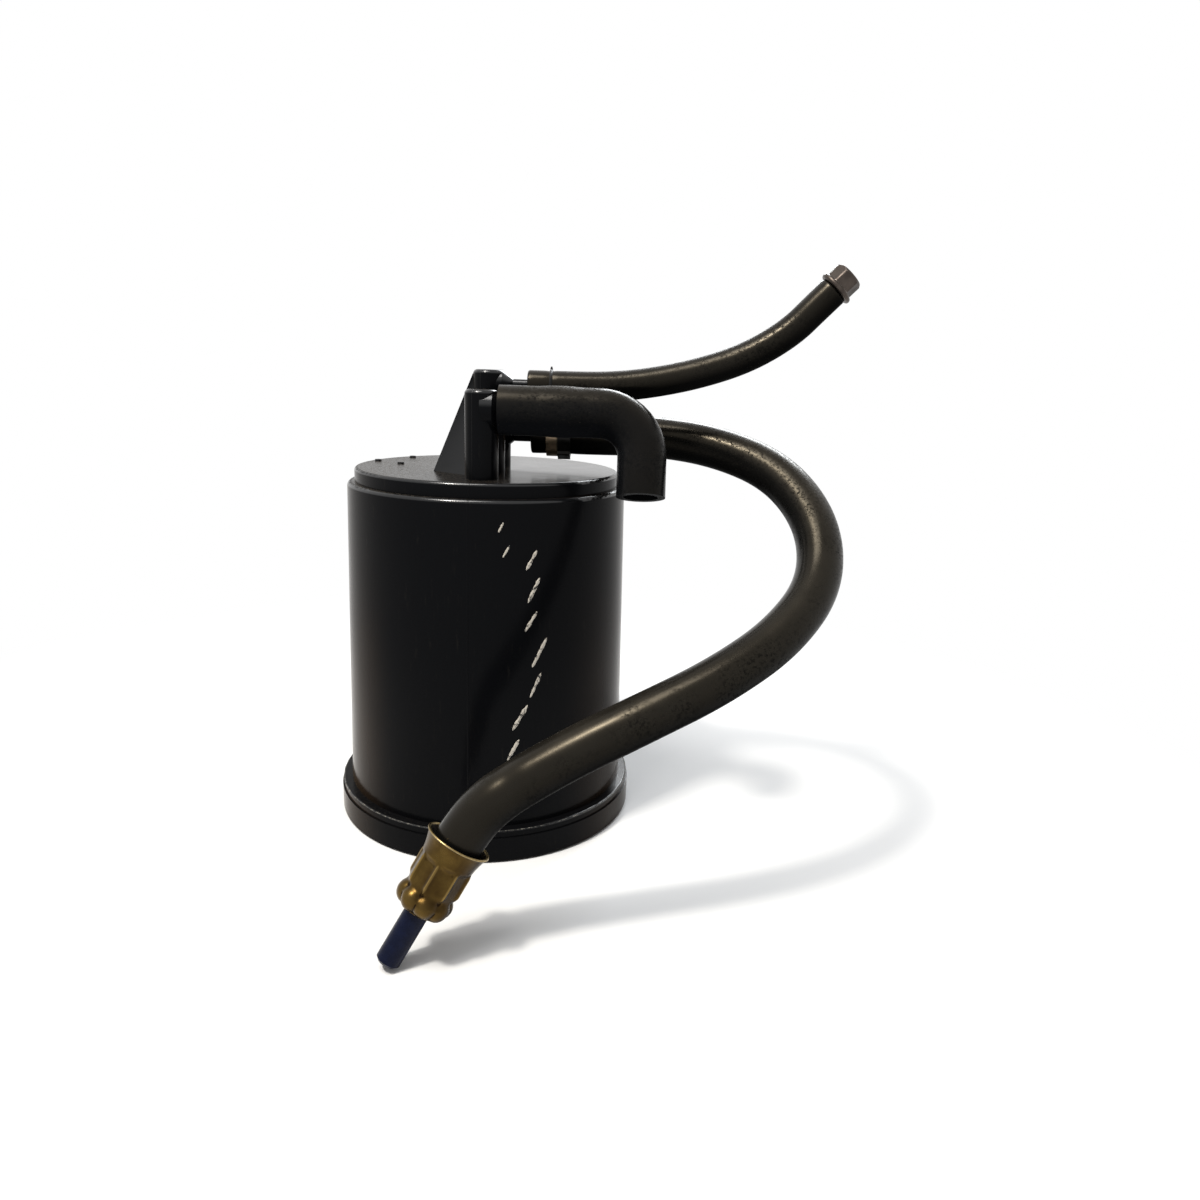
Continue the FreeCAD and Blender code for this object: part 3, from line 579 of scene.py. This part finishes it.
def mesh_object(name, verts, faces, material):
    """New object from vertices and faces, riding on the canister."""
    data = bpy.data.meshes.new(name)
    data.from_pydata(verts, [], faces)
    data.validate()
    data.materials.append(material)
    data.polygons.foreach_set("use_smooth", [True] * len(data.polygons))
    made = bpy.data.objects.new(name, data)
    bpy.context.scene.collection.objects.link(made)
    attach(made, "root")
    return made


def tube_mesh(name, points, radius_at, material):
    """Closed tube of rings along a line, its end faces rounded over."""
    frames = rings_along(points)
    reach = lengths_along(points)
    rows = []
    for (place, way, side, up), at in zip(frames, reach):
        ends = min(at, reach[-1] - at)
        tuck = max(0.0, 1.0 - ends / END_ROUND)
        row = []
        for k in range(HOSE_SIDES):
            turn = 2 * math.pi * k / HOSE_SIDES
            size = radius_at(at, turn) - END_ROUND * (1 - math.sqrt(max(0.0, 1 - tuck ** 2)))
            row.append(place + (side * math.cos(turn) + up * math.sin(turn)) * size)
        rows.append(row)
    verts = [v for row in rows for v in row]
    faces = []
    for r in range(len(rows) - 1):
        for k in range(HOSE_SIDES):
            a = r * HOSE_SIDES + k
            b = r * HOSE_SIDES + (k + 1) % HOSE_SIDES
            faces.append((a, b, b + HOSE_SIDES, a + HOSE_SIDES))
    faces.append(tuple(reversed(range(HOSE_SIDES))))
    last = (len(rows) - 1) * HOSE_SIDES
    faces.append(tuple(last + k for k in range(HOSE_SIDES)))
    return mesh_object(name, verts, faces, material), reach[-1]


def bell(value, middle, width):
    """Smooth bump of height 1 at the middle."""
    return math.exp(-((value - middle) / width) ** 2)


def rise(value, low, high):
    """Smooth step from 0 at low to 1 at high."""
    share = min(1.0, max(0.0, (value - low) / (high - low)))
    return share * share * (3 - 2 * share)


def ferrule_radius(turn, z):
    """Outside of the ferrule: flare, then flats pressed in between ridges, then a lobe below each flat."""
    pitch = 2 * math.pi / CRIMP_COUNT
    off = (turn + pitch / 2) % pitch - pitch / 2
    from_ridge = (pitch / 2 - abs(off)) * FERRULE_NECK
    lobe_z = FERRULE_LENGTH - LOBE_RADIUS
    open_share = max(0.0, (CRIMP_START - z) / (CRIMP_START + FERRULE_MOUTH))
    flare = FERRULE_NECK + (FERRULE_RIM - FERRULE_NECK) * open_share ** FLARE_POWER
    fade = 1 - rise(z, RIDGE_END - CRIMP_EASE, RIDGE_END)
    ridge = RIDGE_HEIGHT * bell(from_ridge, 0.0, RIDGE_WIDTH) * fade
    pit = PIT_DEPTH * bell(from_ridge, 0.0, PIT_WIDTH) * bell(z, RIDGE_END + PIT_WIDTH, PIT_WIDTH)
    flat = (FERRULE_NECK - CRIMP_DEPTH) / math.cos(off) + ridge - pit
    wall = flare + (flat - flare) * rise(z, CRIMP_START - CRIMP_EASE / 2, CRIMP_START + CRIMP_EASE / 2)
    wall = wall + (LOBE_MIDDLE - wall) * rise(z, lobe_z - LOBE_BLEND, lobe_z + LOBE_RADIUS / 2)
    left = LOBE_RADIUS ** 2 - (LOBE_MIDDLE * math.sin(off)) ** 2 - (z - lobe_z) ** 2
    lobe = LOBE_MIDDLE * math.cos(off) + math.sqrt(max(0.0, left))
    return (wall + lobe + math.hypot(wall - lobe, LOBE_BLEND)) / 2 - LOBE_BLEND / 4


def ring_piece(name, rows, route, materials, loop):
    """Closed piece of rings about a hose's last run; each row is a height, a radius and a material's index.

    With loop, the last row joins the first, as round a bore; without it, both ends get a flat cap.
    """
    end = Vector(route[-1])
    way = (end - Vector(route[-2])).normalized()
    turned = Vector((0, 0, 1)).rotation_difference(way)
    verts = []
    faces = []
    kinds = []
    for row, (z, radius_at, kind) in enumerate(rows):
        below = (row + 1) % len(rows) * RING_SIDES
        for k in range(RING_SIDES):
            turn = 2 * math.pi * k / RING_SIDES
            size = radius_at(turn, z)
            verts.append(end + turned @ Vector((size * math.cos(turn), size * math.sin(turn), z)))
            a = row * RING_SIDES + k
            b = row * RING_SIDES + (k + 1) % RING_SIDES
            if loop or row + 1 < len(rows):
                faces.append((a, b, below + (k + 1) % RING_SIDES, below + k))
                kinds.append(kind)
    if not loop:
        last = (len(rows) - 1) * RING_SIDES
        faces.append(tuple(reversed(range(RING_SIDES))))
        faces.append(tuple(range(last, last + RING_SIDES)))
        kinds += [rows[0][2], rows[-1][2]]
    made = mesh_object(name, verts, faces, materials[0])
    for extra in materials[1:]:
        made.data.materials.append(extra)
    made.data.polygons.foreach_set("material_index", kinds)
    made.data.set_sharp_from_angle(angle=math.radians(RING_SHARP_DEG))
    return made


def same(size):
    """Radius that is the same all round."""
    return lambda turn, z: size


def round_over(middle_r, middle_z, size, kind):
    """Rows of half a circle that runs out over the low side, from the inside to the outside."""
    rows = []
    for k in range(RIM_ROWS + 1):
        around = math.pi * k / RIM_ROWS
        rows.append((middle_z - size * math.sin(around), same(middle_r - size * math.cos(around)), kind))
    return rows


def add_ferrule():
    """Pressed sleeve on the tank hose's end: mouth, rolled rim, outside, end face and bore."""
    half_wall = FERRULE_RIM_WALL / 2
    rows = [(0.0, same(FERRULE_BORE), PLAIN), (0.0, same(FERRULE_SEAT), PLAIN)]
    rows += round_over(FERRULE_RIM - half_wall, half_wall - FERRULE_MOUTH, half_wall, RIM_HIGHLIGHT)
    top = half_wall - FERRULE_MOUTH
    for k in range(1, FERRULE_ROWS + 1):
        rows.append((top + (FERRULE_LENGTH - top) * k / FERRULE_ROWS, ferrule_radius, PLAIN))
    rows.append((FERRULE_LENGTH, same(FERRULE_BORE), PLAIN))
    # Brighter brass on the rolled rim: a painted highlight line
    rim = metal("ferrule_rim_highlight", bright=(0.34, 0.255, 0.115), dull=(0.17, 0.115, 0.045),
                edge=(0.45, 0.36, 0.20), rough_low=0.25, rough_high=0.40, size_mm=3.0)
    made = ring_piece("ferrule_skin", rows, TANK_ROUTE, (bronze(), rim), True)
    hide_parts("hose_ferrule")
    return made


def hex_radius(turn, z):
    """Outside of the plug's head: a hexagon with eased corners, turned down to a cone at its top."""
    pitch = math.pi / 3
    off = turn % pitch - pitch / 2
    flat = PLUG_ACROSS / 2 / math.cos(off)
    crown = PLUG_CORNER - max(0.0, z - PLUG_HEIGHT + PLUG_CHAMFER) * PLUG_CROWN_SLOPE
    return min(flat, crown)


def add_plug():
    """Plug in the purge hose's end: shank, rounded collar and hex head."""
    half = PLUG_COLLAR / 2
    rows = [(-PLUG_SHANK, same(PLUG_SHANK_RADIUS), PLAIN), (0.0, same(PLUG_SHANK_RADIUS), PLAIN)]
    for k in range(PLUG_ROWS + 1):
        around = math.pi * k / PLUG_ROWS
        size = PLUG_COLLAR_RADIUS - half + half * math.sin(around)
        rows.append((half - half * math.cos(around), same(size), PLAIN))
    rows.append((PLUG_COLLAR, hex_radius, PLAIN))
    for k in range(PLUG_ROWS + 1):
        rows.append((PLUG_HEIGHT - PLUG_CHAMFER * (1 - k / PLUG_ROWS), hex_radius, PLAIN))
    steel = metal("plug_steel", bright=(0.085, 0.070, 0.060), dull=(0.042, 0.034, 0.030),
                  edge=(0.36, 0.31, 0.28), rough_low=0.30, rough_high=0.44, size_mm=5.0)
    made = ring_piece("plug_skin", rows, PURGE_ROUTE, (steel,), False)
    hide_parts("purge_plug")
    return made


def tank_radius(at, turn):
    """Tank hose: pinched by its band, creased where it folds down to the ferrule."""
    band = BAND_PINCH * bell(at, BAND_AT, BAND_REACH)
    crease = CREASE_DEPTH * bell(at, CREASE_AT, CREASE_REACH) * max(0.0, math.cos(turn - CREASE_TURN))
    return TANK_HOSE_RADIUS - band - crease


def purge_radius(at, turn):
    """Purge hose: pinched under its wire clip, the same all round."""
    clip = CLIP_PINCH * bell(at, CLIP_AT, CLIP_REACH)
    return PURGE_HOSE_RADIUS - clip


def add_hoses(material, ferrule, plug):
    """Both free hoses, along the same routes as their solids."""
    facts = (
        ("tank_hose_skin", "tank_hose", TANK_ROUTE, tank_radius, TANK_HOSE_RADIUS,
         "fitting", [NODES["tank_hose_clamp"], ferrule, NODES["pipe_stub"]]),
        ("purge_hose_skin", "purge_hose", PURGE_ROUTE, purge_radius, PURGE_HOSE_RADIUS,
         "plug", [NODES["purge_hose_clip"], plug]),
    )
    for name, node, route, radius_at, radius, far_end, on_it in facts:
        points = spline_points(name, route)
        first = points[0]
        way = (points[1] - first).normalized()
        last = points[-1]
        back = (points[-2] - last).normalized()
        fine = [END_ROUND * f for f in END_STEPS]
        start = [first + way * d for d in fine]
        end = [last + back * d for d in reversed(fine)]
        inside = [p for p in points if min((p - first).length, (p - last).length) > 2 * END_ROUND]
        line = start + inside + end
        made, length = tube_mesh(name, line, radius_at, material)
        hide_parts(node)


def wall_radius(height):
    """Radius of the body's drafted wall at a height."""
    return SHOULDER_RADIUS + (SHOULDER_HEIGHT - height) * math.tan(math.radians(DRAFT_DEG))


def add_weld_flash(material):
    """Uneven bead squeezed out along the flange's upper edge, thickest at the front left."""
    verts = []
    faces = []
    for step in range(FLASH_STEPS):
        turn = 2 * math.pi * step / FLASH_STEPS
        out = Vector((math.cos(turn), math.sin(turn), 0))
        off = (math.degrees(turn) - FLASH_PEAK_DEG) / FLASH_SPREAD_DEG
        lump = noise.fractal(out * FLASH_GRAIN, FLASH_FALL, FLASH_FINER, FLASH_OCTAVES) + FLASH_BASE
        size = FLASH_THIN + FLASH_LUMP * max(0.0, lump) * math.exp(-off ** 2)
        middle = out * FLASH_RADIUS + Vector((0, 0, FLASH_HEIGHT))
        for side in range(FLASH_SIDES):
            around = 2 * math.pi * side / FLASH_SIDES
            verts.append(middle + (out * math.cos(around) + Vector((0, 0, math.sin(around)))) * size)
        for side in range(FLASH_SIDES):
            a = step * FLASH_SIDES + side
            b = step * FLASH_SIDES + (side + 1) % FLASH_SIDES
            c = (step + 1) % FLASH_STEPS * FLASH_SIDES
            faces.append((a, c + side, c + (side + 1) % FLASH_SIDES, b))
    mesh_object("weld_flash", verts, faces, material)


def add_paint_dashes(material):
    """Separate worn strokes of paint, thin closed dabs let into the wall."""
    verts = []
    faces = []
    for place_deg, height, length, tilt_deg, width in PAINT_DASHES:
        tilt = math.radians(tilt_deg)
        first = len(verts)
        for step in range(PAINT_STEPS + 1):
            at = 2 * step / PAINT_STEPS - 1
            ragged = 1 + PAINT_RAGGED * noise.noise(Vector((at * PAINT_RAGS, height, place_deg)))
            half = width / 2 * ragged * (1 - PAINT_TAPER * at ** PAINT_TAPER_POWER)
            top = PAINT_TOP_SHARE * half
            outline = ((-half, -PAINT_SINK), (-top, PAINT_LIFT), (top, PAINT_LIFT), (half, -PAINT_SINK))
            for edge, lift in outline:
                run = at * length / 2 * math.cos(tilt) - edge * math.sin(tilt)
                climb = at * length / 2 * math.sin(tilt) + edge * math.cos(tilt)
                z = (height + climb) * MM
                radius = wall_radius(z) + lift
                turn = math.radians(place_deg) + run * MM / radius
                verts.append((radius * math.sin(turn), -radius * math.cos(turn), z))
        for step in range(PAINT_STEPS):
            for side in range(PAINT_SIDES):
                a = first + step * PAINT_SIDES + side
                b = first + step * PAINT_SIDES + (side + 1) % PAINT_SIDES
                faces.append((a, a + PAINT_SIDES, b + PAINT_SIDES, b))
        last = len(verts) - PAINT_SIDES
        faces.append(tuple(range(first, first + PAINT_SIDES)))
        faces.append(tuple(reversed(range(last, last + PAINT_SIDES))))
    mesh_object("paint_dashes", verts, faces, material)


def smooth_solid(node, material):
    """Give a solid its finish, smooth except across its edges."""
    solid = NODES[node]
    mesh = solid.data
    mesh.materials.clear()
    mesh.materials.append(material)
    mesh.polygons.foreach_set("use_smooth", [True] * len(mesh.polygons))
    mesh.set_sharp_from_angle(angle=math.radians(SOLID_SHARP_DEG))


def dress_solids():
    """Materials of every solid that stays."""
    plastic = body_plastic()
    fleece = inner_stuff("filter_fleece", dark=(0.24, 0.235, 0.22), pale=(0.42, 0.41, 0.38),
                         size_mm=0.8, rough=0.9)
    pellets = inner_stuff("carbon_pellets", dark=(0.008, 0.008, 0.008), pale=(0.035, 0.035, 0.036),
                          size_mm=2.4, rough=0.7)
    plate = inner_stuff("plate_plastic", dark=(0.03, 0.03, 0.03), pale=(0.05, 0.05, 0.05),
                        size_mm=1.5, rough=0.5)
    spring = metal("spring_steel", bright=(0.50, 0.50, 0.51), dull=(0.30, 0.29, 0.28),
                   edge=(0.56, 0.56, 0.57), rough_low=0.25, rough_high=0.45, size_mm=3.0)
    elbow = rubber("elbow_rubber", tone=(0.0030, 0.0033, 0.0040), gloss=0.08, dust_share=0.35,
                   top_sheen_and_dust_share=0.40, size_mm=8.0)
    finishes = {
        "canister_body": plastic,
        "base_cover": plastic,
        "vent_elbow": elbow,
        "tank_hose_clamp": band_steel(),
        "purge_hose_clip": blackened_wire(),
        "pipe_stub": blue_plastic(),
    }
    for side in ("main", "vent"):
        finishes[side + "_upper_filter"] = fleece
        finishes[side + "_lower_filter"] = fleece
        finishes[side + "_carbon_bed"] = pellets
        finishes[side + "_retainer_plate"] = plate
        finishes[side + "_spring"] = spring
    for node, material in finishes.items():
        smooth_solid(node, material)


def add_camera():
    """Camera at the photograph's place, aim and lens."""
    pitch = math.radians(CAMERA_PITCH_DEG)
    roll = math.radians(CAMERA_ROLL_DEG)
    ahead = Vector((0, math.cos(pitch), -math.sin(pitch)))
    right = Vector((1, 0, 0))
    down = ahead.cross(right)
    image_right = right * math.cos(roll) + down * math.sin(roll)
    image_down = down * math.cos(roll) - right * math.sin(roll)
    turn = Matrix((image_right, -image_down, -ahead)).transposed()
    data = bpy.data.cameras.new("camera")
    data.lens = CAMERA_LENS
    data.sensor_width = SENSOR
    data.clip_start = CLIP_START
    camera = bpy.data.objects.new("camera", data)
    camera.matrix_world = Matrix.Translation(CAMERA_AT) @ turn.to_4x4()
    bpy.context.scene.collection.objects.link(camera)
    bpy.context.scene.camera = camera


def add_lamp(name, place, aim, size, power, colour):
    """Soft rectangular lamp at a place, turned to its aim."""
    data = bpy.data.lights.new(name, "AREA")
    data.shape = "RECTANGLE"
    data.size, data.size_y = size
    data.energy = power
    data.color = colour
    lamp = bpy.data.objects.new(name, data)
    lamp.location = place
    lamp.rotation_euler = (Vector(aim) - Vector(place)).to_track_quat("-Z", "Y").to_euler()
    bpy.context.scene.collection.objects.link(lamp)


def seen_directly(tree):
    """Light path factor that is 1 where the camera, a reflection or a clear piece looks at it."""
    path = tree.nodes.new("ShaderNodeLightPath")
    total = path.outputs["Is Camera Ray"]
    for other in ("Is Glossy Ray", "Is Transmission Ray"):
        joined = tree.nodes.new("ShaderNodeMath")
        joined.operation = "MAXIMUM"
        tree.links.new(total, joined.inputs[0])
        tree.links.new(path.outputs[other], joined.inputs[1])
        total = joined.outputs[0]
    return total


def add_floor():
    """Pale floor that keeps the shadow near the canister and fades to white further out."""
    s = Shader("floor", Roughness=0.9, Specular_IOR_Level=0.1)
    s.set(Base_Color=s.mix(s.noise(400.0, 2.0), FLOOR_GREY, FLOOR_PALE))
    flat = s.node("VectorMath", {0: s.coords((1, 1, 0))}, operation="LENGTH").outputs["Value"]
    far = s.step(flat, FADE_START / MM, FADE_END / MM)
    white = s.node("Emission", values={"Strength": 1.0})
    share = s.math("MULTIPLY", far, seen_directly(s.tree))
    joined = s.node("MixShader", {0: share, 1: s.bsdf.outputs[0], 2: white.outputs[0]})
    s.tree.links.new(joined.outputs[0], s.tree.nodes["Material Output"].inputs["Surface"])
    data = bpy.data.meshes.new("floor")
    half = FLOOR_HALF
    corners = [(-half, -half, 0), (half, -half, 0), (half, half, 0), (-half, half, 0)]
    data.from_pydata(corners, [], [(0, 1, 2, 3)])
    data.materials.append(s.material)
    floor = bpy.data.objects.new("floor", data)
    bpy.context.scene.collection.objects.link(floor)


def add_room():
    """Dim room light, white where it is seen."""
    world = bpy.data.worlds.new("room")
    world.use_nodes = True
    tree = world.node_tree
    dim = tree.nodes["Background"]
    dim.inputs["Color"].default_value = ROOM_COLOUR
    dim.inputs["Strength"].default_value = ROOM_LIGHT
    white = tree.nodes.new("ShaderNodeBackground")
    white.inputs["Color"].default_value = WHITE
    joined = tree.nodes.new("ShaderNodeMixShader")
    tree.links.new(seen_directly(tree), joined.inputs[0])
    tree.links.new(dim.outputs[0], joined.inputs[1])
    tree.links.new(white.outputs[0], joined.inputs[2])
    tree.links.new(joined.outputs[0], tree.nodes["World Output"].inputs["Surface"])
    bpy.context.scene.world = world


def add_stage():
    """Floor, room and soft lamps."""
    add_floor()
    add_room()
    for lamp in LAMPS:
        add_lamp(*lamp)


bpy.context.scene.view_settings.view_transform = "Standard"
add_camera()
add_stage()
dress_solids()
hose = rubber("hose_rubber", tone=(0.0030, 0.0030, 0.0030), gloss=0.18, dust_share=0.45,
              top_sheen_and_dust_share=0.25, size_mm=7.0)
add_hoses(hose, add_ferrule(), add_plug())
add_weld_flash(flash_plastic())
add_paint_dashes(worn_paint())
